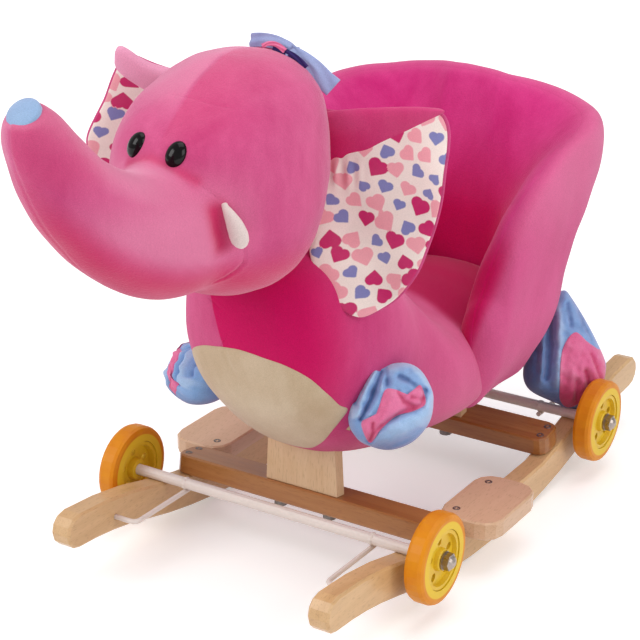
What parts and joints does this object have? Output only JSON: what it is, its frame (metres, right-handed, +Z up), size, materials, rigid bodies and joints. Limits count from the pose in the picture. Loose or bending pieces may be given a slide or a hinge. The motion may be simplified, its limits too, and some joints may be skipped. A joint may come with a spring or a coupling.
{
  "type": "plush rocking animal",
  "caption": "Plush rocking elephant with a bucket seat on wooden rockers; two swing-over frames put wheels under the rockers to turn it into a push-along ride.",
  "frame": {"origin": "on the floor, under the middle of the toy's bounding box", "axes": "+Z up; -Y is the way the elephant faces, from its seat back to its trunk; +X is the elephant's left, along the axles"},
  "size_m": [0.3562, 0.7748, 0.4962],
  "materials": {
    "beech": "clear-lacquered beech",
    "beech_pale": "clear-lacquered pale beech",
    "beech_dark": "brown-stained lacquered beech",
    "plywood": "bare sanded plywood",
    "screw_steel": "darkened steel",
    "painted_wire": "pale grey powder coat",
    "nut_chrome": "bright plated steel",
    "tyre_orange": "orange moulded tyre",
    "hub_yellow": "yellow moulded plastic",
    "plush_pink": "short pink plush",
    "plush_rose": "short deep pink plush",
    "plush_blue": "short blue plush",
    "plush_pad": "short pink plush, brighter",
    "felt_white": "off-white felt",
    "cream": "short cream plush",
    "print": "cream cloth printed with small hearts",
    "eye_black": "polished black"
  },
  "bodies": {
    "rocking_base": {"backrest_board": "plywood", "belly_patch": "cream", "ear_left": "plush_pink", "ear_lining_left": "print", "ear_lining_right": "print", "ear_right": "plush_pink", "eye_left": "eye_black", "eye_right": "eye_black", "footrest_left": "beech_pale", "footrest_right": "beech_pale", "front_crossbar": "beech_dark", "front_foot_left": "plush_blue", "front_foot_right": "plush_blue", "front_pad_left": "plush_pad", "front_pad_right": "plush_pad", "front_post": "beech_pale", "front_post_bolt_left": "screw_steel", "front_post_bolt_right": "screw_steel", "handle_bar": "beech", "head": "plush_pink", "head_ribbon": "plush_blue", "rear_crossbar": "beech_dark", "rear_foot_left": "plush_blue", "rear_foot_right": "plush_blue", "rear_pad_left": "plush_pad", "rear_pad_right": "plush_pad", "rear_post": "beech_pale", "rear_post_bolt_left": "screw_steel", "rear_post_bolt_right": "screw_steel", "rocker_left": "beech", "rocker_right": "beech", "seat_board": "plywood", "seat_shell": "plush_rose", "torso": "plush_pink", "trunk": "plush_pink", "trunk_tip": "plush_blue", "tusk_left": "felt_white", "tusk_right": "felt_white"},
    "front_wheel_frame": {"front_axle": "painted_wire", "front_stay_left": "painted_wire", "front_stay_right": "painted_wire", "front_axle_nut_left": "nut_chrome", "front_axle_nut_right": "nut_chrome"},
    "front_wheel_left": {"front_tyre_left": "tyre_orange", "front_hub_left": "hub_yellow"},
    "front_wheel_right": {"front_tyre_right": "tyre_orange", "front_hub_right": "hub_yellow"},
    "rear_wheel_frame": {"rear_axle": "painted_wire", "rear_stay_left": "painted_wire", "rear_stay_right": "painted_wire", "rear_axle_nut_left": "nut_chrome", "rear_axle_nut_right": "nut_chrome"},
    "rear_wheel_left": {"rear_tyre_left": "tyre_orange", "rear_hub_left": "hub_yellow"},
    "rear_wheel_right": {"rear_tyre_right": "tyre_orange", "rear_hub_right": "hub_yellow"}
  },
  "joints": [
    {"name": "front_frame_hinge", "type": "hinge", "parent": "rocking_base", "child": "front_wheel_frame", "pos_m": [0, -0.1486, 0.0495], "axis": [1, 0, 0], "range_deg": [0, 327]},
    {"name": "front_wheel_left_spin", "type": "hinge", "parent": "front_wheel_frame", "child": "front_wheel_left", "pos_m": [0.159, -0.074, 0.05639], "axis": [1, 0, 0], "continuous": true},
    {"name": "front_wheel_right_spin", "type": "hinge", "parent": "front_wheel_frame", "child": "front_wheel_right", "pos_m": [-0.159, -0.074, 0.05639], "axis": [1, 0, 0], "continuous": true},
    {"name": "rear_frame_hinge", "type": "hinge", "parent": "rocking_base", "child": "rear_wheel_frame", "pos_m": [0, 0.3234, 0.0495], "axis": [-1, 0, 0], "range_deg": [0, 327], "deforming": ["rear_foot_left", "rear_foot_right", "rear_pad_left", "rear_pad_right"]},
    {"name": "rear_wheel_left_spin", "type": "hinge", "parent": "rear_wheel_frame", "child": "rear_wheel_left", "pos_m": [0.159, 0.2488, 0.05639], "axis": [1, 0, 0], "continuous": true},
    {"name": "rear_wheel_right_spin", "type": "hinge", "parent": "rear_wheel_frame", "child": "rear_wheel_right", "pos_m": [-0.159, 0.2488, 0.05639], "axis": [1, 0, 0], "continuous": true}
  ]
}
